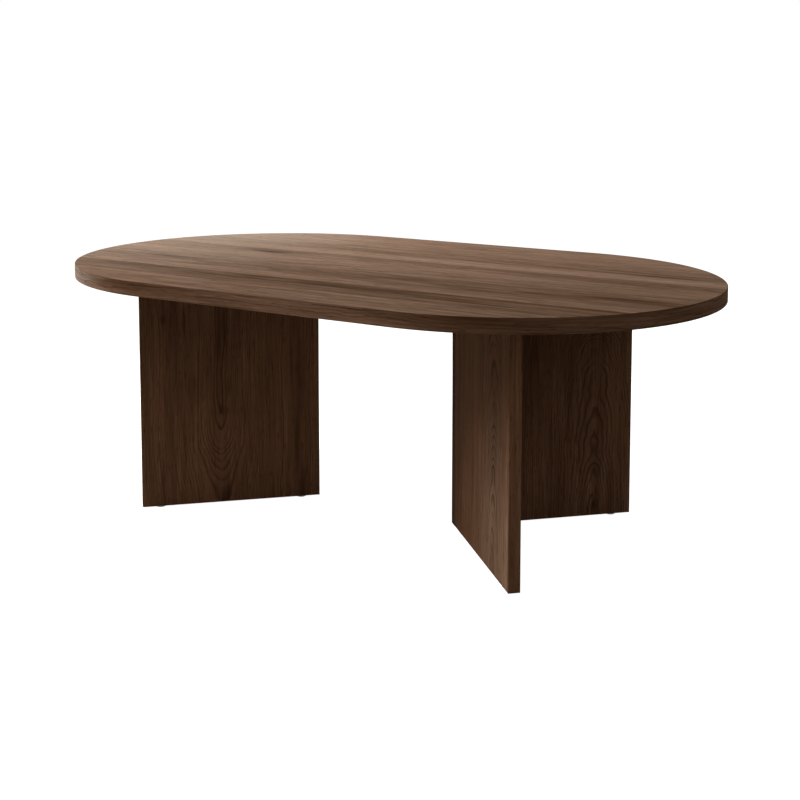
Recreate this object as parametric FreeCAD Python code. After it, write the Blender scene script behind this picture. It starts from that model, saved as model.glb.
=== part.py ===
import FreeCAD, Part
import os

from FreeCAD import Placement, Rotation, Vector

# Oval coffee table: a racetrack-shaped board top on two V-shaped legs. Each leg is two upright
# boards that meet at a square corner: the through board runs on to the corner, and the butt
# board ends against its inner face. Cam fittings and dowels join the boards to each other and
# to the top. Millimetres, +Z up, +X along the top, origin on the floor under the top's centre.

# Top, overall sizes with its edge band on
TOP_LENGTH = 1100.0
TOP_WIDTH = 660.0
TOP_THICKNESS = 22.0

# Legs, overall sizes with their edge bands on
LEG_HEIGHT = 378.0
LEG_REACH = 294.0  # from the outer corner to the free end of either board
LEG_THICKNESS = 18.0
CORNER_OFFSET = 128.6  # from the table's centre to a leg's outer corner
LEG_TURN = 45.0  # degrees, from the table's length to the butt board

# Edge bands
BAND_THICKNESS = 1.0
ARRIS_RADIUS = 0.8

# Cam fittings
CAM_DIAMETER = 15.0
CAM_SETBACK = 34.0  # from the joint to the cam's centre
CAM_BELOW_AXIS = 4.2  # disc height past the bolt's axis
CAM_RECESS = 0.2  # disc face below the board's face
CAM_SLOT_LENGTH = 9.0
CAM_SLOT_WIDTH = 2.0
CAM_SLOT_DEPTH = 2.6
BOLT_THREAD_DIAMETER = 6.0
BOLT_COLLAR_DIAMETER = 7.6
BOLT_COLLAR_LENGTH = 3.0
BOLT_SHANK_DIAMETER = 4.6
BOLT_HEAD_DIAMETER = 6.0
BOLT_HEAD_LENGTH = 3.0
SLEEVE_DIAMETER = 10.0
SLEEVE_FLOOR = 1.5
SLEEVE_BACKING = 5.5  # panel left behind a sleeve

# Cover caps on the cams
CAP_OVERLAP = 1.5  # of the cap's rim past the cam's hole
CAP_THICKNESS = 1.2
CAP_ROUND = 0.6

# Dowels
DOWEL_DIAMETER = 8.0
DOWEL_LENGTH = 30.0
DOWEL_BACKING = 7.0  # panel left behind a dowel
DOWEL_CHAMFER = 1.0

# Glides
GLIDE_DIAMETER = 16.0
GLIDE_THICKNESS = 2.0
GLIDE_ROUND = 0.5
NAIL_DIAMETER = 2.0
NAIL_LENGTH = 15.0  # in the board
NAIL_HEAD_DIAMETER = 4.4
NAIL_HEAD_THICKNESS = 0.8
NAIL_HEAD_RECESS = 0.4  # of the head above the pad's floor face

# Places along the boards, from their ends
TOP_CAM_INSET = 60.0
TOP_DOWEL_INSET = 92.0
CORNER_CAM_INSET = 80.0
CORNER_DOWEL_INSET = 112.0
GLIDE_INSET = 30.0

# Clearances
FIT_CLEARANCE = 0.1  # on the diameter, for what is pushed or driven in
RUNNING_CLEARANCE = 0.4  # on the diameter, for what turns or passes
HOLE_END_GAP = 0.5  # past the end of what a blind hole holds
ROUND_LIMIT = 0.9  # share of a wall that a rounding may take

# Sizes that follow
FOOT = GLIDE_THICKNESS
UNDERSIDE = FOOT + LEG_HEIGHT
HALF_LEG = LEG_THICKNESS / 2
THINNEST_PANEL = min(LEG_THICKNESS, TOP_THICKNESS)
SLEEVE_LENGTH = THINNEST_PANEL - SLEEVE_BACKING
BOLT_THREAD_LENGTH = SLEEVE_LENGTH - SLEEVE_FLOOR - HOLE_END_GAP
DOWEL_IN_PANEL = THINNEST_PANEL - DOWEL_BACKING
DOWEL_IN_BOARD = DOWEL_LENGTH - DOWEL_IN_PANEL
CAM_FACE = HALF_LEG - CAM_RECESS
BOLT_BORE = BOLT_HEAD_DIAMETER + RUNNING_CLEARANCE
BOLT_HOLE = BOLT_COLLAR_DIAMETER + RUNNING_CLEARANCE
BAND_ROUND = min(ARRIS_RADIUS, ROUND_LIMIT * BAND_THICKNESS)
NAIL_BORE = NAIL_DIAMETER + FIT_CLEARANCE
NAIL_HEAD_TOP = NAIL_HEAD_RECESS + NAIL_HEAD_THICKNESS

X = Vector(1, 0, 0)
Y = Vector(0, 1, 0)
Z = Vector(0, 0, 1)


def racetrack(length, width, height, base):
    """An upright prism with straight long sides and half-round ends."""
    radius = width / 2
    side = length / 2 - radius
    edges = [
        Part.LineSegment(Vector(-side, -radius, base), Vector(side, -radius, base)),
        Part.Arc(Vector(side, -radius, base), Vector(length / 2, 0, base), Vector(side, radius, base)),
        Part.LineSegment(Vector(side, radius, base), Vector(-side, radius, base)),
        Part.Arc(Vector(-side, radius, base), Vector(-length / 2, 0, base), Vector(-side, -radius, base)),
    ]
    outline = Part.Wire([edge.toShape() for edge in edges])
    return Part.Face(outline).extrude(Vector(0, 0, height))


def bar(diameter, start, end):
    """A round bar on the Z axis."""
    return Part.makeCylinder(diameter / 2, end - start, Vector(0, 0, start))


def block(x, y, z):
    """A box from three (low, high) spans."""
    low = Vector(x[0], y[0], z[0])
    return Part.makeBox(x[1] - x[0], y[1] - y[0], z[1] - z[0], low)


def set_at(shape, place):
    """A copy of a shape, carried by a placement."""
    copy = shape.copy()
    copy.Placement = place.multiply(copy.Placement)
    return copy


def inset_pair(low, high, inset):
    """Two places, each the same way in from one end of a board."""
    return low + inset, high - inset


# Places in a leg's own frame: its outer corner at the origin, the through board along +Y,
# the butt board along +X, and the V's inner faces facing +X and +Y.
# A fitting's own frame: the joint's plane at its origin, +Z into the board that holds the cam,
# +X towards that board's inner face.
def top_joint_places(inset):
    """Fitting places along the top edges of the leg's two boards."""
    on_through = [
        Placement(Vector(HALF_LEG, y, UNDERSIDE), Rotation(X, -Y, -Z, "ZXY"))
        for y in inset_pair(0, LEG_REACH, inset)
    ]
    on_butt = [
        Placement(Vector(x, HALF_LEG, UNDERSIDE), Rotation(Y, X, -Z, "ZXY"))
        for x in inset_pair(LEG_THICKNESS, LEG_REACH, inset)
    ]
    return on_through, on_butt


def corner_joint_places(inset):
    """Fitting places up the corner, where the butt board meets the through board."""
    return [
        Placement(Vector(LEG_THICKNESS, HALF_LEG, z), Rotation(Y, Z, X, "ZXY"))
        for z in inset_pair(FOOT, UNDERSIDE, inset)
    ]


def glide_places():
    """Glide places on the floor, under the through board and under the butt board."""
    under_through = [
        Placement(Vector(HALF_LEG, y, 0), Rotation())
        for y in inset_pair(0, LEG_REACH, GLIDE_INSET)
    ]
    under_butt = [
        Placement(Vector(x, HALF_LEG, 0), Rotation())
        for x in inset_pair(LEG_THICKNESS, LEG_REACH, GLIDE_INSET)
    ]
    return under_through, under_butt


# Fittings, each in its own frame
def cam_disc():
    """The turning disc, bored across for the bolt's head and slotted for a screwdriver."""
    disc = Part.makeCylinder(
        CAM_DIAMETER / 2, CAM_FACE + CAM_BELOW_AXIS, Vector(-CAM_BELOW_AXIS, 0, CAM_SETBACK), X
    )
    bore_end = CAM_SETBACK + BOLT_HEAD_LENGTH / 2 + RUNNING_CLEARANCE
    bore = bar(BOLT_BORE, CAM_SETBACK - CAM_DIAMETER, bore_end)
    slot = block(
        (CAM_FACE - CAM_SLOT_DEPTH, CAM_FACE),
        (-CAM_SLOT_LENGTH / 2, CAM_SLOT_LENGTH / 2),
        (CAM_SETBACK - CAM_SLOT_WIDTH / 2, CAM_SETBACK + CAM_SLOT_WIDTH / 2),
    )
    return disc.cut([bore, slot])


def cam_bolt():
    """Thread in the sleeve, collar on the joint, and a necked shank with its head in the cam."""
    head_start = CAM_SETBACK - BOLT_HEAD_LENGTH / 2
    thread = bar(BOLT_THREAD_DIAMETER, -BOLT_THREAD_LENGTH, 0)
    collar = bar(BOLT_COLLAR_DIAMETER, 0, BOLT_COLLAR_LENGTH)
    shank = bar(BOLT_SHANK_DIAMETER, BOLT_COLLAR_LENGTH, head_start)
    head = bar(BOLT_HEAD_DIAMETER, head_start, head_start + BOLT_HEAD_LENGTH)
    return thread.fuse([collar, shank, head]).removeSplitter()


def bolt_sleeve():
    """The blind insert that takes the bolt's thread, flush with the panel."""
    sleeve = bar(SLEEVE_DIAMETER, -SLEEVE_LENGTH, 0)
    bore = bar(BOLT_THREAD_DIAMETER + FIT_CLEARANCE, SLEEVE_FLOOR - SLEEVE_LENGTH, 0)
    return sleeve.cut(bore)


def dowel():
    """A wooden dowel across the joint, chamfered at both ends."""
    pin = bar(DOWEL_DIAMETER, -DOWEL_IN_PANEL, DOWEL_IN_BOARD)
    rims = [edge for edge in pin.Edges if edge.isClosed()]
    return pin.makeChamfer(DOWEL_CHAMFER, rims)


def cam_cap():
    """The cover on a cam: a flat button on the board's face, with a blade in the cam's slot."""
    button = Part.makeCylinder(
        CAM_DIAMETER / 2 + CAP_OVERLAP, CAP_THICKNESS, Vector(HALF_LEG, 0, CAM_SETBACK), X
    )
    outer_rim = [edge for edge in button.Edges if edge.BoundBox.XMin > HALF_LEG + CAP_THICKNESS / 2]
    button = button.makeFillet(min(CAP_ROUND, ROUND_LIMIT * CAP_THICKNESS), outer_rim)
    half_length = (CAM_SLOT_LENGTH - RUNNING_CLEARANCE) / 2
    half_width = (CAM_SLOT_WIDTH - RUNNING_CLEARANCE) / 2
    blade = block(
        (CAM_FACE - CAM_SLOT_DEPTH + RUNNING_CLEARANCE, HALF_LEG),
        (-half_length, half_length),
        (CAM_SETBACK - half_width, CAM_SETBACK + half_width),
    )
    return button.fuse(blade)


def glide_pad():
    """The plastic pad under a board's foot, counterbored for the nail's head."""
    pad = bar(GLIDE_DIAMETER, 0, GLIDE_THICKNESS)
    floor_rim = [edge for edge in pad.Edges if edge.BoundBox.ZMax < GLIDE_THICKNESS / 2]
    pad = pad.makeFillet(min(GLIDE_ROUND, ROUND_LIMIT * GLIDE_THICKNESS), floor_rim)
    nail_hole = bar(NAIL_BORE, 0, GLIDE_THICKNESS)
    head_hole = bar(NAIL_HEAD_DIAMETER + FIT_CLEARANCE, 0, NAIL_HEAD_TOP)
    return pad.cut([nail_hole, head_hole])


def glide_nail():
    """The nail that holds a pad, driven up into the foot."""
    head = bar(NAIL_HEAD_DIAMETER, NAIL_HEAD_RECESS, NAIL_HEAD_TOP)
    shank = bar(NAIL_DIAMETER, NAIL_HEAD_TOP, FOOT + NAIL_LENGTH)
    return head.fuse(shank).removeSplitter()


# What is drilled for the fittings, in the same frames
def cam_drilling():
    """The cam's blind hole in the face and the bolt's hole from the edge."""
    cam_hole = Part.makeCylinder(
        (CAM_DIAMETER + FIT_CLEARANCE) / 2,
        HALF_LEG + CAM_BELOW_AXIS,
        Vector(-CAM_BELOW_AXIS, 0, CAM_SETBACK),
        X,
    )
    bolt_hole = bar(BOLT_HOLE, 0, CAM_SETBACK)
    return cam_hole.fuse(bolt_hole)


def sleeve_drilling():
    """The sleeve's blind hole in the panel."""
    return bar(SLEEVE_DIAMETER + FIT_CLEARANCE, -SLEEVE_LENGTH - HOLE_END_GAP, 0)


def dowel_drilling():
    """The two blind holes of a dowel, as one bar across the joint."""
    diameter = DOWEL_DIAMETER + FIT_CLEARANCE
    return bar(diameter, -DOWEL_IN_PANEL - HOLE_END_GAP, DOWEL_IN_BOARD + HOLE_END_GAP)


def nail_drilling():
    """The nail's pilot hole in the foot."""
    return bar(NAIL_BORE, FOOT, FOOT + NAIL_LENGTH + HOLE_END_GAP)


def many(make, places):
    """Copies of one fitting at several places."""
    pattern = make()
    return [set_at(pattern, place) for place in places]


# Leg pieces, in the leg's own frame
def band_strip(length):
    """A strip of edge band along +Z, its glued face on the YZ plane and its arrises rounded."""
    flat = BAND_THICKNESS - BAND_ROUND
    far = LEG_THICKNESS - BAND_ROUND
    dip = BAND_ROUND * (1 - 0.5**0.5)
    edges = [
        Part.LineSegment(Vector(0, LEG_THICKNESS, 0), Vector(0, 0, 0)),
        Part.LineSegment(Vector(0, 0, 0), Vector(flat, 0, 0)),
        Part.Arc(
            Vector(flat, 0, 0),
            Vector(BAND_THICKNESS - dip, dip, 0),
            Vector(BAND_THICKNESS, BAND_ROUND, 0),
        ),
        Part.LineSegment(Vector(BAND_THICKNESS, BAND_ROUND, 0), Vector(BAND_THICKNESS, far, 0)),
        Part.Arc(
            Vector(BAND_THICKNESS, far, 0),
            Vector(BAND_THICKNESS - dip, LEG_THICKNESS - dip, 0),
            Vector(flat, LEG_THICKNESS, 0),
        ),
        Part.LineSegment(Vector(flat, LEG_THICKNESS, 0), Vector(0, LEG_THICKNESS, 0)),
    ]
    outline = Part.Wire([edge.toShape() for edge in edges])
    return Part.Face(outline).extrude(Vector(0, 0, length))


def through_board():
    """The board that runs on to the corner, drilled for every fitting in it."""
    core = block(
        (0, LEG_THICKNESS),
        (BAND_THICKNESS, LEG_REACH - BAND_THICKNESS),
        (FOOT + BAND_THICKNESS, UNDERSIDE),
    )
    drillings = many(cam_drilling, top_joint_places(TOP_CAM_INSET)[0])
    drillings += many(dowel_drilling, top_joint_places(TOP_DOWEL_INSET)[0])
    drillings += many(sleeve_drilling, corner_joint_places(CORNER_CAM_INSET))
    drillings += many(dowel_drilling, corner_joint_places(CORNER_DOWEL_INSET))
    drillings += many(nail_drilling, glide_places()[0])
    return core.cut(drillings)


def butt_board():
    """The board that ends against the through board, drilled for every fitting in it."""
    core = block(
        (LEG_THICKNESS, LEG_REACH - BAND_THICKNESS),
        (0, LEG_THICKNESS),
        (FOOT + BAND_THICKNESS, UNDERSIDE),
    )
    drillings = many(cam_drilling, top_joint_places(TOP_CAM_INSET)[1])
    drillings += many(dowel_drilling, top_joint_places(TOP_DOWEL_INSET)[1])
    drillings += many(cam_drilling, corner_joint_places(CORNER_CAM_INSET))
    drillings += many(dowel_drilling, corner_joint_places(CORNER_DOWEL_INSET))
    drillings += many(nail_drilling, glide_places()[1])
    return core.cut(drillings)


def through_bands():
    """The through board's bands: free end, corner end and foot."""
    upright = band_strip(LEG_HEIGHT)
    foot = band_strip(LEG_REACH - 2 * BAND_THICKNESS)
    outer_base = Vector(LEG_THICKNESS, LEG_REACH - BAND_THICKNESS, FOOT)
    outer_place = Placement(outer_base, Rotation(Y, -X, Z, "ZXY"))
    corner_place = Placement(Vector(0, BAND_THICKNESS, FOOT), Rotation(-Y, X, Z, "ZXY"))
    foot_base = Vector(LEG_THICKNESS, BAND_THICKNESS, FOOT + BAND_THICKNESS)
    foot_place = Placement(foot_base, Rotation(-Z, -X, Y, "ZXY"))
    foot_band = set_at(foot, foot_place).cut(many(nail_drilling, glide_places()[0]))
    return set_at(upright, outer_place), set_at(upright, corner_place), foot_band


def butt_bands():
    """The butt board's bands: free end and foot."""
    upright = band_strip(LEG_HEIGHT)
    foot = band_strip(LEG_REACH - LEG_THICKNESS - BAND_THICKNESS)
    outer_place = Placement(Vector(LEG_REACH - BAND_THICKNESS, 0, FOOT), Rotation(X, Y, Z, "ZXY"))
    foot_place = Placement(Vector(LEG_THICKNESS, 0, FOOT + BAND_THICKNESS), Rotation(-Z, Y, X, "ZXY"))
    foot_band = set_at(foot, foot_place).cut(many(nail_drilling, glide_places()[1]))
    return set_at(upright, outer_place), foot_band


def leg_pieces():
    """Every piece of one leg by name, as lists of solids in the leg's own frame."""
    through_cams, butt_cams = top_joint_places(TOP_CAM_INSET)
    through_dowels, butt_dowels = top_joint_places(TOP_DOWEL_INSET)
    top_cams = through_cams + butt_cams
    corner_cams = corner_joint_places(CORNER_CAM_INSET)
    under_through, under_butt = glide_places()
    through_outer, through_corner, through_foot = through_bands()
    butt_outer, butt_foot = butt_bands()
    return {
        "through_board": [through_board()],
        "butt_board": [butt_board()],
        "through_outer_band": [through_outer],
        "through_corner_band": [through_corner],
        "through_foot_band": [through_foot],
        "butt_outer_band": [butt_outer],
        "butt_foot_band": [butt_foot],
        "top_cam_discs": many(cam_disc, top_cams),
        "top_cam_bolts": many(cam_bolt, top_cams),
        "top_bolt_sleeves": many(bolt_sleeve, top_cams),
        "top_dowels": many(dowel, through_dowels + butt_dowels),
        "corner_cam_discs": many(cam_disc, corner_cams),
        "corner_cam_bolts": many(cam_bolt, corner_cams),
        "corner_bolt_sleeves": many(bolt_sleeve, corner_cams),
        "corner_dowels": many(dowel, corner_joint_places(CORNER_DOWEL_INSET)),
        "cam_caps": many(cam_cap, top_cams + corner_cams),
        "glide_pads": many(glide_pad, under_through + under_butt),
        "glide_nails": many(glide_nail, under_through + under_butt),
    }


# The right leg stands at +X with its V open to that end, and the left leg is turned half round.
LEG_PLACES = {
    "left": Placement(Vector(-CORNER_OFFSET, 0, 0), Rotation(Z, 180 - LEG_TURN)),
    "right": Placement(Vector(CORNER_OFFSET, 0, 0), Rotation(Z, -LEG_TURN)),
}


# Top pieces
def top_board():
    """The top's board inside its band, drilled from below for both legs."""
    core = racetrack(
        TOP_LENGTH - 2 * BAND_THICKNESS, TOP_WIDTH - 2 * BAND_THICKNESS, TOP_THICKNESS, UNDERSIDE
    )
    cam_places = sum(top_joint_places(TOP_CAM_INSET), [])
    dowel_places = sum(top_joint_places(TOP_DOWEL_INSET), [])
    drillings = many(sleeve_drilling, cam_places) + many(dowel_drilling, dowel_places)
    return core.cut([set_at(drilling, leg) for leg in LEG_PLACES.values() for drilling in drillings])


def top_edge_band():
    """The band round the top, with its outer arrises rounded."""
    outside = racetrack(TOP_LENGTH, TOP_WIDTH, TOP_THICKNESS, UNDERSIDE)
    level_edges = [edge for edge in outside.Edges if edge.BoundBox.ZLength < TOP_THICKNESS / 2]
    outside = outside.makeFillet(BAND_ROUND, level_edges)
    inside = racetrack(
        TOP_LENGTH - 2 * BAND_THICKNESS, TOP_WIDTH - 2 * BAND_THICKNESS, TOP_THICKNESS, UNDERSIDE
    )
    return outside.cut(inside)


def write(name, solids):
    """One file per node: a single solid, or a group of like solids."""
    shape = solids[0] if len(solids) == 1 else Part.makeCompound(solids)
    shape.exportStep(f"parts/{name}.step")


os.makedirs("parts", exist_ok=True)
write("top_board", [top_board()])
write("top_edge_band", [top_edge_band()])
pieces = leg_pieces()
for side, place in LEG_PLACES.items():
    for name, solids in pieces.items():
        write(f"{side}_{name}", [set_at(solid, place) for solid in solids])
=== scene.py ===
import math

import bpy
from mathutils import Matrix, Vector


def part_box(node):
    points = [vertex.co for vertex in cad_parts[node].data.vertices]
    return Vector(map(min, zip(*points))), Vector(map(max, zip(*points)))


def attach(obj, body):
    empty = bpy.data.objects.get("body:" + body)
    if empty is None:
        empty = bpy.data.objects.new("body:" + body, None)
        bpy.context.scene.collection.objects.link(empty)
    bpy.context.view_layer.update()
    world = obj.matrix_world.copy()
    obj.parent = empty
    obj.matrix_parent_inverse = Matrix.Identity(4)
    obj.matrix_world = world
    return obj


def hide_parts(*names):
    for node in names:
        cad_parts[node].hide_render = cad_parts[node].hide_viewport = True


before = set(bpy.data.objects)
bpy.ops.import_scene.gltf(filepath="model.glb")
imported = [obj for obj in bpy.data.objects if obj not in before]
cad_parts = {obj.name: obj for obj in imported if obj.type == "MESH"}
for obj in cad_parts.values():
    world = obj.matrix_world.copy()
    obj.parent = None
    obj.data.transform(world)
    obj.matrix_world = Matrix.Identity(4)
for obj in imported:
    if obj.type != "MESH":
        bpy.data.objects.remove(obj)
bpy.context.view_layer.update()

# Leg boards
# Each leg is two upright boards of engineered wood, faced with dark walnut whose grain runs upright.
# The through board runs on to the leg's corner, and the butt board ends against its inner face,
# held there by dowels and cam fittings.
corner_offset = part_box("right_through_corner_band")[0].x
leg_turn = math.radians(45)
leg_places = {
    "left": (Vector((-corner_offset, 0, 0)), math.pi - leg_turn),
    "right": (Vector((corner_offset, 0, 0)), -leg_turn),
}
walnut_light = (0.238, 0.115, 0.057, 1)
walnut_dark = (0.069, 0.0315, 0.0155, 1)
# The pale colour serves both pale wood, where the tone runs high, and painted sheen on the places blended
# toward it.
walnut_pale_and_sheen = (0.292, 0.199, 0.137, 1)
walnut_line = (0.042, 0.018, 0.008, 1)
leg_tone = 0.40
pore_depth = 0.6
fibre_relief = 0.0003


def add_node(tree, kind, inputs=None, **settings):
    """A new node with its settings, and its inputs linked or set by name or number."""
    node = tree.nodes.new(kind)
    for name, value in settings.items():
        setattr(node, name, value)
    for name, value in (inputs or {}).items():
        if isinstance(value, bpy.types.NodeSocket):
            tree.links.new(value, node.inputs[name])
        else:
            node.inputs[name].default_value = value
    return node


def calc(tree, operation, *values):
    """One Math node's result."""
    return add_node(tree, "ShaderNodeMath", dict(enumerate(values)), operation=operation).outputs[0]


def stretched(tree, vector, factors):
    """A vector times a factor on each axis."""
    return add_node(tree, "ShaderNodeVectorMath", {0: vector, 1: factors}, operation="MULTIPLY").outputs[0]


def noise(tree, vector, detail=2.0, roughness=0.5):
    """Smooth noise about 0.5, with one feature to each unit of the vector."""
    inputs = {"Vector": vector, "Scale": 1.0, "Detail": detail, "Roughness": roughness}
    return add_node(tree, "ShaderNodeTexNoise", inputs).outputs[0]


def swing(tree, value, reach):
    """A value about 0.5 made into a swing either way of 0."""
    return calc(tree, "MULTIPLY", calc(tree, "SUBTRACT", value, 0.5), reach)


def ramp_up(tree, value, low, high):
    """A smooth step from 0 at low to 1 at high."""
    inputs = {"Value": value, "From Min": low, "From Max": high}
    return add_node(tree, "ShaderNodeMapRange", inputs, interpolation_type="SMOOTHSTEP").outputs[0]


def blend_colour(tree, factor, first, second, blend="MIX"):
    """Two colours mixed by a factor."""
    inputs = {0: factor, 6: first, 7: second}
    return add_node(tree, "ShaderNodeMix", inputs, data_type="RGBA", blend_type=blend).outputs[2]


def split(tree, vector):
    """A vector's three parts."""
    return add_node(tree, "ShaderNodeSeparateXYZ", {0: vector}).outputs


def join(tree, *parts):
    """A vector from its parts."""
    return add_node(tree, "ShaderNodeCombineXYZ", dict(enumerate(parts))).outputs[0]


def shader_group(name, inputs, outputs):
    """An empty shader group with named sockets, and its inputs and outputs."""
    tree = bpy.data.node_groups.new(name, "ShaderNodeTree")
    for socket_name, kind in inputs.items():
        tree.interface.new_socket(socket_name, in_out="INPUT", socket_type=kind)
    for socket_name in outputs:
        tree.interface.new_socket(socket_name, in_out="OUTPUT", socket_type="NodeSocketFloat")
    return tree, tree.nodes.new("NodeGroupInput").outputs, tree.nodes.new("NodeGroupOutput").inputs


def grain_inputs(*names):
    """A grain vector, which runs along the grain, across the face and into the board, and numbers."""
    return {"Grain": "NodeSocketVector", **{name: "NodeSocketFloat" for name in names}}


def seeded(tree, given):
    """The grain vector moved by the seed, so that no two boards share their noise."""
    seed = given["Seed"]
    inputs = {0: given["Grain"], 1: join(tree, seed, seed, seed)}
    return add_node(tree, "ShaderNodeVectorMath", inputs, operation="ADD").outputs[0]


def growth_ring_group():
    """Dark late-wood lines where a face cuts the rings of its log. The heart of the log lies some way
    under the face, and where that depth changes along the grain the lines close into arches."""
    heart_rounding = 0.012
    heart_radius = 0.018
    uneven_scale = 60.0
    uneven_reach = 2.5
    faintest_ring = 0.35
    far_strength = 0.75
    names = ("Heart Across", "Heart Depth", "Heart Slope", "Heart Least", "Wave Reach", "Ring Width", "Seed")
    tree, given, out = shader_group("growth_rings", grain_inputs(*names), ("Late Wood", "Heart"))
    spot = seeded(tree, given)
    along, across, inward = split(tree, given["Grain"])
    drift = swing(tree, noise(tree, stretched(tree, spot, (4, 7, 7))), reach=0.035)
    flutter = swing(tree, noise(tree, stretched(tree, spot, (35, 60, 60)), detail=3.0), reach=0.006)
    waves = noise(tree, stretched(tree, spot, (17, 3, 3)), detail=1.0)
    waves = swing(tree, waves, reach=given["Wave Reach"])
    across = calc(tree, "SUBTRACT", across, given["Heart Across"])
    across = calc(tree, "ADD", calc(tree, "ADD", across, drift), flutter)
    depth = calc(tree, "MULTIPLY_ADD", along, given["Heart Slope"], given["Heart Depth"])
    depth = calc(tree, "ADD", calc(tree, "ADD", depth, inward), waves)
    depth = calc(tree, "SMOOTH_MAX", depth, given["Heart Least"], heart_rounding)
    squares = calc(tree, "ADD", calc(tree, "POWER", across, 2.0), calc(tree, "POWER", depth, 2.0))
    radius = calc(tree, "SQRT", squares)
    uneven = noise(tree, join(tree, calc(tree, "MULTIPLY", radius, uneven_scale), given["Seed"]), detail=1.0)
    uneven = calc(tree, "MULTIPLY", uneven, uneven_reach)
    phase = calc(tree, "ADD", calc(tree, "DIVIDE", radius, given["Ring Width"]), uneven)
    turn = calc(tree, "FRACT", phase)
    darkening = ramp_up(tree, turn, low=0.4, high=0.9)
    line = calc(tree, "SUBTRACT", darkening, ramp_up(tree, turn, low=0.9, high=1.0))
    inputs = {"W": calc(tree, "FLOOR", phase)}
    pick = add_node(tree, "ShaderNodeTexWhiteNoise", inputs, noise_dimensions="1D").outputs[0]
    strength = ramp_up(tree, pick, low=0.1, high=0.9)
    strength = calc(tree, "MULTIPLY_ADD", strength, 1.0 - faintest_ring, faintest_ring)
    patchy = ramp_up(tree, noise(tree, stretched(tree, spot, (9, 70, 70)), detail=2.0), low=0.2, high=0.55)
    line = calc(tree, "MULTIPLY", calc(tree, "MULTIPLY", line, strength), patchy)
    far = ramp_up(tree, calc(tree, "ABSOLUTE", across), low=0.01, high=0.06)
    near = calc(tree, "SUBTRACT", 1.0, far)
    fall = calc(tree, "MULTIPLY_ADD", near, 1.0 - far_strength, far_strength)
    tree.links.new(calc(tree, "MULTIPLY", line, fall), out["Late Wood"])
    off_heart = ramp_up(tree, radius, low=0.0, high=heart_radius)
    tree.links.new(calc(tree, "SUBTRACT", 1.0, off_heart), out["Heart"])
    return tree


def fibre_group():
    """The wood's fibres along the grain: broad streaks of tone, fine fibres and short dark pores."""
    outputs = ("Streaks", "Fibres", "Pores")
    tree, given, out = shader_group("wood_fibres", grain_inputs("Seed"), outputs)
    spot = seeded(tree, given)
    streaks = noise(tree, stretched(tree, spot, (2.5, 38, 38)), detail=5.0, roughness=0.6)
    tree.links.new(ramp_up(tree, streaks, low=0.28, high=0.72), out["Streaks"])
    fibres = noise(tree, stretched(tree, spot, (9, 330, 330)), detail=3.0, roughness=0.65)
    tree.links.new(ramp_up(tree, fibres, low=0.25, high=0.75), out["Fibres"])
    dashes = noise(tree, stretched(tree, spot, (45, 640, 640)), detail=1.0)
    tree.links.new(ramp_up(tree, dashes, low=0.60, high=0.72), out["Pores"])
    return tree


growth_rings = growth_ring_group()
wood_fibres = fibre_group()


def grouped(tree, group, grain, **values):
    """A shader group placed in a tree with its grain vector and values, and its outputs."""
    node = add_node(tree, "ShaderNodeGroup", node_tree=group)
    tree.links.new(grain, node.inputs["Grain"])
    for name, value in values.items():
        node.inputs[name.replace("_", " ").title()].default_value = value
    return node.outputs


def ringed(tree, grain, seed, rings):
    """Growth rings placed in a tree, from one row: the heart's place across, its depth, the slope and
    the least of that depth, the reach of its waves, and the rings' width."""
    names = ("heart_across", "heart_depth", "heart_slope", "heart_least", "wave_reach", "ring_width")
    return grouped(tree, growth_rings, grain, seed=seed, **dict(zip(names, rings)))


def new_material(name):
    """A material with its tree and its Principled shader."""
    material = bpy.data.materials.new(name)
    material.use_nodes = True
    return material, material.node_tree, material.node_tree.nodes["Principled BSDF"]


def leg_grain(tree, side, board, lengthwise=False):
    """The grain vector of a leg's board: up, out from the corner, and in from the outer face. With
    lengthwise grain the first two change places."""
    place, turn = leg_places[side]
    spot = add_node(tree, "ShaderNodeTexCoord").outputs["Object"]
    inputs = {"Vector": spot, "Location": place, "Rotation": (0, 0, turn)}
    local = add_node(tree, "ShaderNodeMapping", inputs, vector_type="TEXTURE").outputs[0]
    x, y, z = split(tree, local)
    out, inward = (y, x) if board == "through" else (x, y)
    return join(tree, out, z, inward) if lengthwise else join(tree, z, out, inward)


def marked(tree, grain, tone, marks):
    """A tone with soft marks, from rows: a mark's place along and across the grain, its reach along
    and across, and its depth, which is below 0 for a pale mark."""
    unbounded = 1000.0
    feather = swing(tree, noise(tree, stretched(tree, grain, (14, 160, 160)), detail=3.0), reach=0.9)
    for along, across, reach, width, depth in marks:
        inputs = {"Vector": grain, "Location": (along, across, 0), "Scale": (reach, width, unbounded)}
        near = add_node(tree, "ShaderNodeMapping", inputs, vector_type="TEXTURE").outputs[0]
        far = add_node(tree, "ShaderNodeVectorMath", {0: near}, operation="LENGTH").outputs["Value"]
        outside = ramp_up(tree, calc(tree, "ADD", far, feather), low=0.1, high=1.1)
        mask = calc(tree, "SUBTRACT", 1.0, outside)
        tone = calc(tree, "MULTIPLY_ADD", mask, -depth, tone)
    return tone


def lined(tree, colour, mask, strength):
    """A colour with a mask of dark lines or pores over it."""
    return blend_colour(tree, calc(tree, "MULTIPLY", mask, strength), colour, walnut_line)


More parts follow.
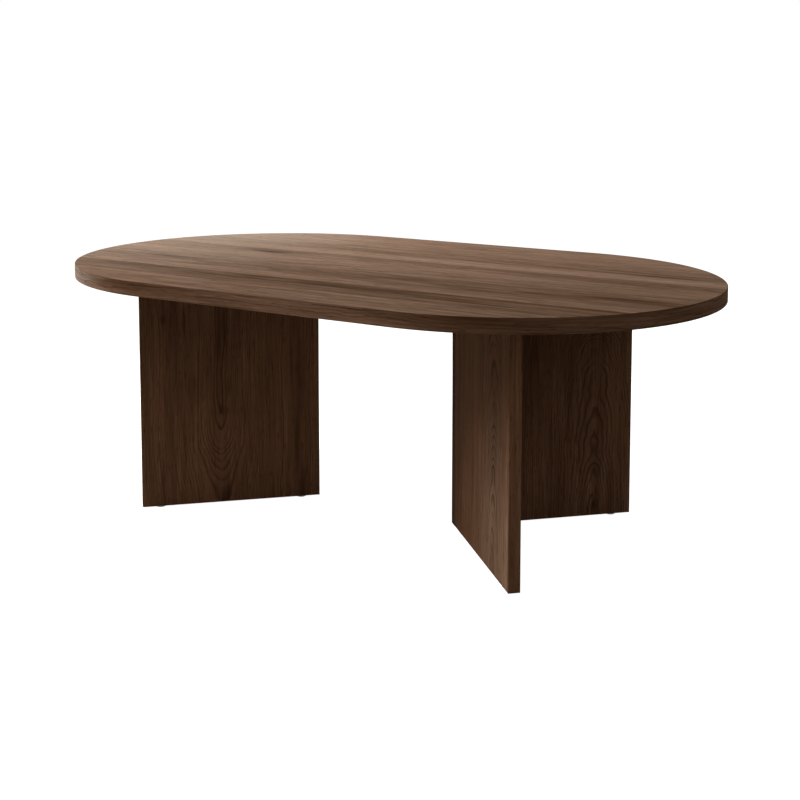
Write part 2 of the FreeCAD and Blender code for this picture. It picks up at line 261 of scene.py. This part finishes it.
def finish_walnut(tree, shader, colour, fibre, roughness, specular, sheen, fine_depth):
    """Fibres and pores over a walnut colour, with their roughness and fine relief."""
    fibre_polish = 0.12
    fine = calc(tree, "MULTIPLY_ADD", fibre["Fibres"], fine_depth, 1.0 - fine_depth / 2)
    colour = blend_colour(tree, 1.0, colour, fine, "MULTIPLY")
    colour = lined(tree, colour, fibre["Pores"], pore_depth)
    tree.links.new(colour, shader.inputs["Base Color"])
    rough = calc(tree, "MULTIPLY_ADD", fibre["Fibres"], -fibre_polish, roughness)
    tree.links.new(rough, shader.inputs["Roughness"])
    height = calc(tree, "SUBTRACT", fibre["Fibres"], fibre["Pores"])
    inputs = {"Height": height, "Strength": 0.15, "Distance": fibre_relief}
    bump = add_node(tree, "ShaderNodeBump", inputs)
    tree.links.new(bump.outputs[0], shader.inputs["Normal"])
    shader.inputs["Specular IOR Level"].default_value = specular
    shader.inputs["Sheen Weight"].default_value = sheen
    shader.inputs["Sheen Roughness"].default_value = 0.50


def leg_walnut(name, side, board, seed, rings=None, marks=(), sheen_marks=(), lengthwise=False):
    """Walnut for a leg's board or band, with any growth rings and marks, and places of its face painted pale
    as sheen.
    """
    material, tree, shader = new_material(name)
    grain = leg_grain(tree, side, board, lengthwise)
    fibre = grouped(tree, wood_fibres, grain, seed=seed)
    tone = calc(tree, "ADD", swing(tree, fibre["Streaks"], reach=0.32), leg_tone)
    lines = noise(tree, stretched(tree, grain, (4, 105, 105)), detail=2.0, roughness=0.6)
    tone = calc(tree, "ADD", tone, swing(tree, lines, reach=0.65))
    tone = marked(tree, grain, tone, marks)
    colour = blend_colour(tree, tone, walnut_dark, walnut_light)
    colour = blend_colour(tree, ramp_up(tree, tone, low=0.6, high=1.2), colour, walnut_pale_and_sheen)
    # Painted sheen: the given places are blended toward the pale colour to stand in for light on the face.
    if sheen_marks:
        colour = blend_colour(tree, marked(tree, grain, 0.0, sheen_marks), colour, walnut_pale_and_sheen)
    if rings:
        ring = ringed(tree, grain, seed, rings)
        colour = lined(tree, colour, ring["Heart"], strength=0.30)
        colour = lined(tree, colour, ring["Late Wood"], strength=0.86)
    finish_walnut(tree, shader, colour, fibre, roughness=0.88, specular=0.01, sheen=0.015, fine_depth=0.42)
    return material


def dress(node, material):
    """A material on a CAD node."""
    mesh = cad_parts[node].data
    mesh.materials.clear()
    mesh.materials.append(material)


leg_rings = {
    ("left", "through"): (0.162, 0.042, -0.23, 0.004, 0.014, 0.0042),
    ("left", "butt"): (0.110, -0.020, 0.18, 0.006, 0.020, 0.0055),
    ("right", "through"): (0.233, -0.014, 0.13, 0.003, 0.036, 0.0038),
    ("right", "butt"): (0.222, -0.004, 0.20, 0.003, 0.020, 0.0045),
}
leg_marks = {
    ("left", "through"): (
        (0.280, 0.162, 0.060, 0.010, 0.20),
        (0.197, 0.150, 0.020, 0.006, 0.25),
        (0.154, 0.162, 0.010, 0.013, 0.25),
        (0.195, 0.205, 0.035, 0.020, 0.15),
        (0.307, 0.223, 0.040, 0.005, 0.25),
        (0.313, 0.257, 0.012, 0.006, 0.25),
        # Painted shade: the next mark darkens the upper outer part of the face, where less light falls.
        (0.280, 0.255, 0.160, 0.070, 0.12),
        # Painted light: the next mark lightens the lower part of the face near the corner.
        (0.120, 0.050, 0.250, 0.090, -0.14),
        # Painted shade: the next mark darkens the face's top, in the shade under the table's top.
        (0.360, 0.150, 0.130, 0.300, 0.10),
        (0.220, 0.033, 0.100, 0.005, 0.25),
        (0.090, 0.037, 0.090, 0.006, 0.25),
        (0.020, 0.028, 0.035, 0.009, 0.25),
        (0.020, 0.155, 0.030, 0.012, 0.18),
    ),
    ("left", "butt"): ((0.250, 0.200, 0.080, 0.012, 0.25), (0.060, 0.060, 0.070, 0.010, 0.25)),
    ("right", "through"): (
        (0.230, 0.124, 0.140, 0.014, 0.25),
        (0.180, 0.233, 0.150, 0.022, 0.12),
        (0.078, 0.233, 0.020, 0.014, 0.25),
        (0.020, 0.234, 0.014, 0.006, 0.40),
        # Painted light: the next two marks lighten the lower part of the face.
        (0.030, 0.220, 0.140, 0.200, -0.14),
        (0.110, 0.220, 0.260, 0.150, -0.10),
        # Painted shade: the next mark darkens the face's top, in the shade under the table's top.
        (0.360, 0.200, 0.150, 0.200, 0.14),
    ),
    ("right", "butt"): (
        (0.200, 0.008, 0.300, 0.010, 0.25),
        (0.360, 0.150, 0.120, 0.200, -0.03),
        # Painted light: the next mark lightens the face's lower part.
        (0.000, 0.170, 0.130, 0.200, -0.18),
        (0.180, 0.228, 0.220, 0.020, 0.30),
        # Painted light: the next two marks lighten the lower part near the outer end, where light falls.
        (0.040, 0.250, 0.170, 0.050, -0.20),
        (0.060, 0.284, 0.300, 0.012, -0.24),
        (0.230, 0.098, 0.100, 0.012, 0.12),
        (0.118, 0.122, 0.060, 0.010, 0.12),
    ),
}
# Painted sheen: a pale place low on the right butt board's outer face, near its outer end, stands in for
# light there.
leg_painted_sheen = {("right", "butt"): ((0.040, 0.230, 0.260, 0.120, -0.30),)}
leg_seeds = {
    ("left", "through"): 1.7,
    ("left", "butt"): 4.2,
    ("right", "through"): 2.9,
    ("right", "butt"): 6.1,
}
for key, seed in leg_seeds.items():
    side, board = key
    sheen_marks = leg_painted_sheen.get(key, ())
    walnut = leg_walnut(f"{side}_{board}_walnut", side, board, seed, leg_rings[key], leg_marks[key], sheen_marks)
    dress(f"{side}_{board}_board", walnut)

# Leg edge bands
# Strips of walnut veneer, a millimetre thick, glued over the boards' sawn edges and eased along
# their arrises. The upright strips have their grain upright, and the foot strips lengthwise.
upright_marks = {
    "outer": ((0.200, 0.290, 0.500, 0.100, -0.10),),
    "corner": ((0.200, 0.000, 0.500, 0.100, 0.45),),
}
upright_seeds = {
    "left_through_outer_band": 34.3,
    "left_through_corner_band": 35.3,
    "left_butt_outer_band": 31.3,
    "right_through_outer_band": 35.3,
    "right_through_corner_band": 36.3,
    "right_butt_outer_band": 32.3,
}
foot_seed = 15.1
for band, seed in upright_seeds.items():
    side, board, edge = band.split("_")[:3]
    dress(band, leg_walnut(f"{band}_walnut", side, board, seed, marks=upright_marks[edge]))
for side, board in leg_seeds:
    band = f"{side}_{board}_foot_band"
    dress(band, leg_walnut(f"{band}_walnut", side, board, foot_seed, lengthwise=True))

# Dowels
# Short fluted pegs of raw beech, glued into bores across each joint to keep the boards in line. The
# pegs under the top stand upright, and those in a corner lie across the through board.
beech_light = (0.62, 0.44, 0.27, 1)
beech_dark = (0.47, 0.31, 0.18, 1)
beech_fleck = (0.30, 0.18, 0.10, 1)
beech_seed = 21.0
beech_roughness = 0.80


def beech(name, grain_of):
    """Raw beech with short darker flecks along the peg."""
    fibre_polish = 0.15
    material, tree, shader = new_material(name)
    fibre = grouped(tree, wood_fibres, leg_grain(tree, *grain_of), seed=beech_seed)
    colour = blend_colour(tree, fibre["Fibres"], beech_dark, beech_light)
    flecks = calc(tree, "MULTIPLY", fibre["Pores"], pore_depth)
    colour = blend_colour(tree, flecks, colour, beech_fleck)
    tree.links.new(colour, shader.inputs["Base Color"])
    rough = calc(tree, "MULTIPLY_ADD", fibre["Fibres"], -fibre_polish, beech_roughness)
    tree.links.new(rough, shader.inputs["Roughness"])
    inputs = {"Height": fibre["Fibres"], "Strength": 0.2, "Distance": fibre_relief}
    bump = add_node(tree, "ShaderNodeBump", inputs)
    tree.links.new(bump.outputs[0], shader.inputs["Normal"])
    return material


for side in leg_places:
    dress(f"{side}_top_dowels", beech(f"{side}_upright_beech", (side, "through")))
    dress(f"{side}_corner_dowels", beech(f"{side}_level_beech", (side, "butt", True)))

# Cam fittings
# A die-cast zinc disc in a bore in the board's inner face turns to draw in the head of a plated steel
# bolt. The bolt is screwed into a nylon sleeve, which is pressed into the piece that the board joins.
cloud_size = 0.006
zinc_light = (0.63, 0.63, 0.65, 1)
zinc_dark = (0.49, 0.49, 0.51, 1)
steel_light = (0.68, 0.68, 0.70, 1)
steel_dark = (0.53, 0.53, 0.55, 1)
nylon_light = (0.76, 0.74, 0.68, 1)
nylon_dark = (0.67, 0.65, 0.59, 1)


def mottle_group():
    """Faint clouds and fine grit, as on cast, plated and moulded surfaces."""
    inputs = {"Spot": "NodeSocketVector", "Cloud Size": "NodeSocketFloat", "Grit Size": "NodeSocketFloat"}
    tree, given, out = shader_group("surface_mottle", inputs, ("Clouds", "Grit"))
    for mark, size in (("Clouds", "Cloud Size"), ("Grit", "Grit Size")):
        share = calc(tree, "DIVIDE", 1.0, given[size])
        spot = stretched(tree, given["Spot"], join(tree, share, share, share))
        tree.links.new(ramp_up(tree, noise(tree, spot, detail=3.0), low=0.25, high=0.75), out[mark])
    return tree


surface_mottle = mottle_group()


def mottled(name, light, dark, smooth, rough, grit_size, grit_depth, metallic=0.0):
    """Metal or plastic with faint clouds in its colour and roughness, and a fine grit."""
    material, tree, shader = new_material(name)
    spot = add_node(tree, "ShaderNodeTexCoord").outputs["Object"]
    inputs = {"Spot": spot, "Cloud Size": cloud_size, "Grit Size": grit_size}
    mottle = add_node(tree, "ShaderNodeGroup", inputs, node_tree=surface_mottle).outputs
    colour = blend_colour(tree, mottle["Clouds"], dark, light)
    tree.links.new(colour, shader.inputs["Base Color"])
    roughness = calc(tree, "MULTIPLY_ADD", mottle["Clouds"], smooth - rough, rough)
    tree.links.new(roughness, shader.inputs["Roughness"])
    inputs = {"Height": mottle["Grit"], "Strength": 0.3, "Distance": grit_depth}
    bump = add_node(tree, "ShaderNodeBump", inputs)
    tree.links.new(bump.outputs[0], shader.inputs["Normal"])
    shader.inputs["Metallic"].default_value = metallic
    return material


cast_zinc = mottled(
    "cast_zinc", zinc_light, zinc_dark,
    smooth=0.38, rough=0.55, grit_size=0.0006, grit_depth=0.00008, metallic=1.0,
)
plated_steel = mottled(
    "plated_steel", steel_light, steel_dark,
    smooth=0.22, rough=0.38, grit_size=0.0003, grit_depth=0.00003, metallic=1.0,
)
natural_nylon = mottled(
    "natural_nylon", nylon_light, nylon_dark,
    smooth=0.42, rough=0.56, grit_size=0.0008, grit_depth=0.00004,
)
for side in leg_places:
    for joint in ("corner", "top"):
        dress(f"{side}_{joint}_cam_discs", cast_zinc)
        dress(f"{side}_{joint}_cam_bolts", plated_steel)
        dress(f"{side}_{joint}_bolt_sleeves", natural_nylon)

# Cam caps
# Thin round covers of moulded brown plastic, pressed over the cam discs on the legs' inner faces.
# Their faces have the fine grain of the mould.
cap_light = (0.063, 0.035, 0.022, 1)
cap_dark = (0.046, 0.025, 0.016, 1)
brown_plastic = mottled(
    "brown_plastic", cap_light, cap_dark,
    smooth=0.45, rough=0.60, grit_size=0.0007, grit_depth=0.00006,
)
for side in leg_places:
    dress(f"{side}_cam_caps", brown_plastic)

# Glides
# Small pads of moulded natural plastic under the feet, two to a board, that keep the walnut off the
# floor. Each is held by a steel nail, whose head is sunk below the pad's face.
pad_light = (0.84, 0.83, 0.80, 1)
pad_dark = (0.75, 0.74, 0.71, 1)
nail_light = (0.58, 0.58, 0.60, 1)
nail_dark = (0.45, 0.45, 0.47, 1)
pale_plastic = mottled(
    "pale_plastic", pad_light, pad_dark,
    smooth=0.40, rough=0.56, grit_size=0.0009, grit_depth=0.00005,
)
nail_steel = mottled(
    "nail_steel", nail_light, nail_dark,
    smooth=0.28, rough=0.42, grit_size=0.0003, grit_depth=0.00003, metallic=1.0,
)
for side in leg_places:
    dress(f"{side}_glide_pads", pale_plastic)
    dress(f"{side}_glide_nails", nail_steel)

# Top board
# One oval slab of engineered wood, faced with walnut laid up from staves whose grain runs along
# the table. It lies on the legs' top edges, on dowels and cam bolts set in its underside.
top_low, top_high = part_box("top_edge_band")
top_width = top_high.y - top_low.y
glue_line = 0.0004
top_walnut_light = (0.420, 0.256, 0.167, 1)
top_walnut_dark = (0.107, 0.0490, 0.0182, 1)
# The pale colour serves both the palest wood and the painted sheen over the top's left end and back left.
top_walnut_pale_and_sheen = (0.476, 0.374, 0.285, 1)
top_seed = 9.0
# A stave's front edge, its tone there and its tone at the back. The last row is the top's back edge.
top_staves = (
    (-0.330, 0.50, 0.46),
    (-0.251, 0.29, 0.25),
    (-0.213, 0.15, 0.05),
    (-0.178, 0.60, 0.52),
    (-0.141, 0.32, 0.35),
    (-0.108, 0.24, 0.43),
    (-0.066, 0.47, 0.58),
    (-0.021, 0.65, 0.59),
    (0.029, 0.47, 0.37),
    (0.077, 0.93, 0.82),
    (0.124, 0.48, 0.65),
    (0.199, 0.76, 0.80),
    (0.331, 0.80, 0.80),
)


def ramp(tree, value, stops, interpolation):
    """A grey ColorRamp of value over its stops."""
    node = add_node(tree, "ShaderNodeValToRGB", {0: value})
    node.color_ramp.interpolation = interpolation
    elements = node.color_ramp.elements
    while len(elements) < len(stops):
        elements.new(1.0)
    for element, (place, grey) in zip(elements, sorted(stops)):
        element.position = place
        element.color = (grey, grey, grey, 1)
    return node.outputs[0]


def stave_ramps(tree, across):
    """Each stave's tone across its width, a number of its own, and the place across from its middle."""
    number_step, number_count = 5, 8
    front_edge = top_staves[0][0]
    place = calc(tree, "DIVIDE", calc(tree, "SUBTRACT", across, front_edge), top_width)
    gap = glue_line / top_width
    tones, numbers, middles = [], [], []
    for index, (start, front, back) in enumerate(top_staves[:-1]):
        first = (start - front_edge) / top_width
        last = (top_staves[index + 1][0] - front_edge) / top_width
        tones += [(first + gap, front), (last - gap, back)]
        numbers.append((first, index * number_step % number_count / number_count))
        middles.append((first, (first + last) / 2))
    off_middle = calc(tree, "SUBTRACT", place, ramp(tree, place, middles, "CONSTANT"))
    off_middle = calc(tree, "MULTIPLY", off_middle, top_width)
    return ramp(tree, place, tones, "LINEAR"), ramp(tree, place, numbers, "CONSTANT"), off_middle


top_marks = (
    (-0.262, 0.045, 0.050, 0.009, 0.60),
    (-0.270, 0.052, 0.095, 0.026, 0.46),
    (-0.190, 0.039, 0.070, 0.004, 0.21),
    (-0.360, -0.089, 0.100, 0.013, 0.34),
    (-0.126, -0.121, 0.020, 0.006, 0.34),
    (0.100, -0.091, 0.090, 0.014, 0.28),
    (0.460, -0.086, 0.130, 0.014, 0.30),
    (0.330, -0.103, 0.060, 0.006, 0.28),
    (-0.340, -0.196, 0.100, 0.012, 0.21),
    (-0.110, -0.191, 0.050, 0.010, 0.21),
    (0.050, -0.201, 0.130, 0.015, 0.34),
    (0.380, -0.196, 0.250, 0.024, -0.12),
    (0.310, -0.223, 0.130, 0.004, 0.25),
    (0.050, -0.293, 0.070, 0.005, 0.21),
    (-0.280, -0.288, 0.090, 0.004, 0.21),
    (0.400, 0.154, 0.180, 0.006, 0.30),
    (0.420, 0.129, 0.170, 0.008, 0.34),
    (0.380, 0.174, 0.130, 0.005, 0.25),
    (-0.150, 0.159, 0.050, 0.007, 0.25),
    (0.038, 0.268, 0.014, 0.008, 0.34),
    (0.400, 0.044, 0.120, 0.020, 0.16),
    # Painted sheen: the next pale mark lightens the top's back left, where light falls at a grazing angle.
    (-0.400, 0.235, 0.300, 0.120, -0.30),
    (0.050, 0.029, 0.400, 0.120, -0.12),
    (-0.300, -0.122, 0.200, 0.003, -0.25),
    (0.190, -0.230, 0.250, 0.003, -0.25),
)
# Painted sheen: broad pale places over the top's left end and back left stand in for light there.
top_painted_sheen = (
    (-0.520, 0.050, 0.480, 0.420, -0.32),
    (-0.480, 0.230, 0.340, 0.200, -0.30),
)
stave_rings = (0.0, 0.006, 0.0, 0.002, 0.070, 0.010)


def top_walnut():
    """Walnut for the top's face: staves with their own tone and grain, dark and pale marks, a painted
    sheen over the left end and back left, and faint arches along the middle of each stave."""
    stave_shift = 9.0
    arch_stretch = 0.3
    material, tree, shader = new_material("top_walnut")
    spot = add_node(tree, "ShaderNodeTexCoord").outputs["Object"]
    along, across, up = split(tree, spot)
    tone, number, off_middle = stave_ramps(tree, across)
    along_stave = calc(tree, "MULTIPLY_ADD", number, stave_shift, along)
    grain = join(tree, along_stave, across, calc(tree, "ADD", up, number))
    fibre = grouped(tree, wood_fibres, grain, seed=top_seed)
    tone = calc(tree, "ADD", tone, swing(tree, fibre["Streaks"], reach=0.14))
    lines = noise(tree, stretched(tree, grain, (9, 100, 100)), detail=2.0, roughness=0.6)
    lines = ramp_up(tree, lines, low=0.3, high=0.7)
    tone = calc(tree, "ADD", tone, swing(tree, lines, reach=0.32))
    tone = marked(tree, spot, tone, top_marks)
    colour = blend_colour(tree, tone, top_walnut_dark, top_walnut_light)
    colour = blend_colour(tree, ramp_up(tree, tone, low=0.95, high=1.55), colour, top_walnut_pale_and_sheen)
    # Painted sheen: the top's left end and back left are blended toward the pale colour.
    colour = blend_colour(tree, marked(tree, spot, 0.0, top_painted_sheen), colour, top_walnut_pale_and_sheen)
    colour = blend_colour(tree, ramp_up(tree, tone, low=0.1, high=-0.8), colour, walnut_line)
    ring_grain = join(tree, calc(tree, "MULTIPLY", along_stave, arch_stretch), off_middle, 0.0)
    ring = ringed(tree, ring_grain, top_seed, stave_rings)
    colour = lined(tree, colour, ring["Late Wood"], strength=0.36)
    finish_walnut(tree, shader, colour, fibre, roughness=0.92, specular=0.002, sheen=0.015, fine_depth=0.4)
    return material


dress("top_board", top_walnut())

# Top edge band
# A strip of walnut veneer bent round the oval slab's edge, with its arrises eased. It is swept
# along the slab's outline, and its grain runs along the strip.
band_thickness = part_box("top_board")[0].x - top_low.x
top_thickness = top_high.z - top_low.z
end_segments = 48
arris_segments = 5
smooth_angle = math.radians(7)


def geometry_tree(name, inputs):
    """An empty geometry tree with a number input for each name, and its inputs and outputs."""
    tree = bpy.data.node_groups.new(name, "GeometryNodeTree")
    tree.interface.new_socket("Geometry", in_out="INPUT", socket_type="NodeSocketGeometry")
    for socket_name in inputs:
        tree.interface.new_socket(socket_name, in_out="INPUT", socket_type="NodeSocketFloat")
    tree.interface.new_socket("Geometry", in_out="OUTPUT", socket_type="NodeSocketGeometry")
    return tree, tree.nodes.new("NodeGroupInput").outputs, tree.nodes.new("NodeGroupOutput").inputs


def oval_band_tree(sizes, material):
    """A band with eased arrises swept round an oval of two straights and two half circles."""
    just_under_half = 0.4999
    rectangle = "GeometryNodeCurvePrimitiveQuadrilateral"
    tree, given, out = geometry_tree("oval_band", sizes)
    end_radius = calc(tree, "MULTIPLY", given["Oval Width"], just_under_half)
    outline = add_node(tree, rectangle, {"Width": given["Oval Length"], "Height": given["Oval Width"]})
    inputs = {"Curve": outline.outputs[0], "Count": end_segments, "Radius": end_radius}
    outline = add_node(tree, "GeometryNodeFilletCurve", inputs, mode="POLY")
    tangent = add_node(tree, "GeometryNodeInputTangent").outputs[0]
    inputs = {0: tangent, 1: (0, 0, 1)}
    outward = add_node(tree, "ShaderNodeVectorMath", inputs, operation="CROSS_PRODUCT")
    inputs = {"Curve": outline.outputs[0], "Normal": outward.outputs[0]}
    outline = add_node(tree, "GeometryNodeSetCurveNormal", inputs, mode="FREE")
    depth = calc(tree, "ADD", given["Thickness"], given["Tongue"])
    section = add_node(tree, rectangle, {"Width": depth, "Height": given["Height"]})
    position = add_node(tree, "GeometryNodeInputPosition").outputs[0]
    outer = calc(tree, "GREATER_THAN", split(tree, position)[0], 0.0)
    spare = calc(tree, "SUBTRACT", given["Arris"], given["Tongue"])
    radius = calc(tree, "MULTIPLY_ADD", outer, spare, given["Tongue"])
    inputs = {"Curve": section.outputs[0], "Count": arris_segments, "Radius": radius}
    section = add_node(tree, "GeometryNodeFilletCurve", inputs, mode="POLY")
    middle = calc(tree, "MULTIPLY", calc(tree, "SUBTRACT", given["Thickness"], given["Tongue"]), 0.5)
    inputs = {"Geometry": section.outputs[0], "Offset": join(tree, middle, 0.0, 0.0)}
    section = add_node(tree, "GeometryNodeSetPosition", inputs)
    inputs = {"Curve": outline.outputs[0], "Profile Curve": section.outputs[0]}
    band = add_node(tree, "GeometryNodeCurveToMesh", inputs)
    inputs = {"Geometry": band.outputs[0], "Translation": join(tree, 0.0, 0.0, given["Middle Height"])}
    band = add_node(tree, "GeometryNodeTransform", inputs)
    smooth = add_node(tree, "GeometryNodeSetShadeSmooth", {"Geometry": band.outputs[0]}, domain="FACE")
    angle = add_node(tree, "GeometryNodeInputMeshEdgeAngle").outputs["Unsigned Angle"]
    inputs = {0: angle, 1: smooth_angle}
    sharp = add_node(tree, "FunctionNodeCompare", inputs, operation="GREATER_THAN")
    inputs = {"Geometry": smooth.outputs[0], "Selection": sharp.outputs[0], "Shade Smooth": False}
    smooth = add_node(tree, "GeometryNodeSetShadeSmooth", inputs, domain="EDGE")
    whole = add_node(tree, "GeometryNodeRealizeInstances", {"Geometry": smooth.outputs[0]})
    inputs = {"Geometry": whole.outputs[0], "Material": material}
    done = add_node(tree, "GeometryNodeSetMaterial", inputs)
    tree.links.new(done.outputs[0], out["Geometry"])
    return tree


def grown(name, tree, sizes):
    """A piece grown by a geometry tree from its sizes, as a plain mesh."""
    seed = bpy.data.objects.new(f"{name}_seed", bpy.data.meshes.new(f"{name}_seed"))
    bpy.context.scene.collection.objects.link(seed)
    modifier = seed.modifiers.new(name, "NODES")
    modifier.node_group = tree
    for item in tree.interface.items_tree:
        if item.name in sizes:
            modifier[item.identifier] = sizes[item.name]
    whole = seed.evaluated_get(bpy.context.evaluated_depsgraph_get())
    piece = bpy.data.objects.new(name, bpy.data.meshes.new_from_object(whole))
    bpy.data.objects.remove(seed)
    bpy.context.scene.collection.objects.link(piece)
    return piece


def band_grain(tree):
    """The grain vector of the top's band: round the oval, up the band, and from front to back."""
    back_share = 0.02
    spot = add_node(tree, "ShaderNodeTexCoord").outputs["Object"]
    x, y, z = split(tree, spot)
    radius = top_width / 2
    straight = top_high.x - radius
    on_straight = calc(tree, "MINIMUM", calc(tree, "MAXIMUM", x, -straight), straight)
    past = calc(tree, "SUBTRACT", x, on_straight)
    turn = calc(tree, "ARCTAN2", past, calc(tree, "ABSOLUTE", y))
    round_oval = calc(tree, "MULTIPLY_ADD", turn, radius, on_straight)
    return join(tree, round_oval, z, calc(tree, "MULTIPLY", y, back_share))


band_light = (0.288, 0.162, 0.100, 1)
band_dark = (0.082, 0.0360, 0.0160, 1)
# Painted sheen: a pale colour at the band's left end stands in for light on its curve.
band_painted_sheen = (0.213, 0.160, 0.121, 1)
band_tone = 0.34
band_seed = 3.4
band_rings = (0.300, 0.010, 0.08, 0.004, 0.010, 0.006)
band_marks = (
    (-0.255, 0.391, 0.110, 0.040, 0.15),
    (-0.320, 0.393, 0.035, 0.006, 0.20),
    # Partly wood tone and partly painted shade: the next mark darkens the band where it turns round its
    # right end.
    (0.330, 0.391, 0.110, 0.040, 0.18),
    (0.050, 0.391, 0.230, 0.040, -0.19),
    # Painted shade: the next mark darkens the band's right tip against the light that reaches it.
    (0.650, 0.391, 0.220, 0.040, 0.09),
)
band_sheen_marks = ((-0.450, 0.391, 0.170, 0.040, -0.90),)


def band_walnut():
    """Walnut for the top's edge band, with its grain along the strip and a painted sheen at its left end."""
    material, tree, shader = new_material("top_band_walnut")
    grain = band_grain(tree)
    fibre = grouped(tree, wood_fibres, grain, seed=band_seed)
    tone = calc(tree, "ADD", swing(tree, fibre["Streaks"], reach=0.45), band_tone)
    tone = marked(tree, grain, tone, band_marks)
    colour = blend_colour(tree, tone, band_dark, band_light)
    # Painted sheen: the band's left end is blended toward the pale colour.
    colour = blend_colour(tree, marked(tree, grain, 0.0, band_sheen_marks), colour, band_painted_sheen)
    ring = ringed(tree, grain, band_seed, band_rings)
    colour = lined(tree, colour, ring["Late Wood"], strength=0.70)
    finish_walnut(tree, shader, colour, fibre, roughness=0.88, specular=0.005, sheen=0.008, fine_depth=0.6)
    return material


band_sizes = {
    "Oval Length": 2 * (top_high.x - band_thickness),
    "Oval Width": 2 * (top_high.y - band_thickness),
    "Height": top_thickness,
    "Middle Height": (top_low.z + top_high.z) / 2,
    "Thickness": band_thickness,
    "Tongue": 0.0005,
    "Arris": 0.0008,
}
top_band = grown("top_edge_banding", oval_band_tree(band_sizes, band_walnut()), band_sizes)
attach(top_band, "root")
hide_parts("top_edge_band")

# Studio
# A plain white floor that keeps the table's soft shadow, in a dim surround that looks white to the
# camera. A broad lamp high on the left gives most of the light, and five weaker lamps lift the top's
# back and left end, the legs' right side and the shade behind.
floor_half = 30.0
floor_colour = (0.70, 0.70, 0.70, 1)
floor_glow = 0.97
floor_mesh = bpy.data.meshes.new("studio_floor")
floor_corners = [(x * floor_half, y * floor_half, 0) for x, y in ((-1, -1), (1, -1), (1, 1), (-1, 1))]
floor_mesh.from_pydata(floor_corners, [], [(0, 1, 2, 3)])
floor = bpy.data.objects.new("studio_floor", floor_mesh)
bpy.context.scene.collection.objects.link(floor)


def seen_directly(tree):
    """1 for rays from the camera or from a reflection or clear piece, and 0 for scattered light."""
    path = add_node(tree, "ShaderNodeLightPath").outputs
    mirrored = calc(tree, "MAXIMUM", path["Is Glossy Ray"], path["Is Transmission Ray"])
    return calc(tree, "MAXIMUM", path["Is Camera Ray"], mirrored)


material, tree, shader = new_material("studio_floor")
shader.inputs["Base Color"].default_value = floor_colour
shader.inputs["Roughness"].default_value = 1.0
shader.inputs["Specular IOR Level"].default_value = 0.0
shader.inputs["Emission Color"].default_value = (1, 1, 1, 1)
glow = calc(tree, "MULTIPLY", seen_directly(tree), floor_glow)
tree.links.new(glow, shader.inputs["Emission Strength"])
floor_mesh.materials.append(material)

dim_level = 0.05
world = bpy.data.worlds.new("studio")
bpy.context.scene.world = world
world.use_nodes = True
tree = world.node_tree
level = calc(tree, "MULTIPLY_ADD", seen_directly(tree), 1.0 - dim_level, dim_level)
tree.nodes["Background"].inputs["Color"].default_value = (1, 1, 1, 1)
tree.links.new(level, tree.nodes["Background"].inputs["Strength"])


def area_lamp(name, spot, target, sides, watts):
    """A flat lamp that faces a target."""
    data = bpy.data.lights.new(name, "AREA")
    data.shape = "RECTANGLE"
    data.size, data.size_y = sides
    data.energy = watts
    lamp = bpy.data.objects.new(name, data)
    lamp.location = spot
    lamp.rotation_euler = (Vector(target) - Vector(spot)).to_track_quat("-Z", "Y").to_euler()
    bpy.context.scene.collection.objects.link(lamp)


area_lamp("lamp_left", (-2.006, -2.006, 2.516), (0, 0, 0.3), (1.6, 1.6), watts=64)
area_lamp("lamp_behind", (-0.88, 0.66, 0.55), (-0.35, 0.15, 0.4), (1.0, 0.12), watts=5.0)
area_lamp("lamp_over", (-0.2, 0.7, 1.5), (-0.1, 0.2, 0.4), (1.2, 0.6), watts=3.5)
area_lamp("lamp_end", (-1.3, -0.30, 0.60), (-0.5, -0.1, 0.39), (0.6, 0.3), watts=12)
area_lamp("lamp_right", (2.2, -0.8, 1.2), (0, 0, 0.2), (1.2, 1.2), watts=6)
area_lamp("lamp_fill", (0.7, 2.7, 0.9), (0.2, 0, 0.25), (1.4, 1.0), watts=13)

camera_spot = (1.1243, -1.7407, 0.7078)
view_azimuth = math.radians(32.113)
view_pitch = math.radians(5.466)
lens_shift = -0.25
focal_pixels = 1298.3
image_pixels = 800
sensor_width = 36.0
camera_data = bpy.data.cameras.new("photo_camera")
camera_data.sensor_width = sensor_width
camera_data.lens = focal_pixels / image_pixels * sensor_width
camera_data.shift_y = lens_shift
camera = bpy.data.objects.new("photo_camera", camera_data)
camera.location = camera_spot
camera.rotation_euler = (math.pi / 2 - view_pitch, 0, view_azimuth)
bpy.context.scene.collection.objects.link(camera)
bpy.context.scene.camera = camera
bpy.context.scene.view_settings.view_transform = "Standard"
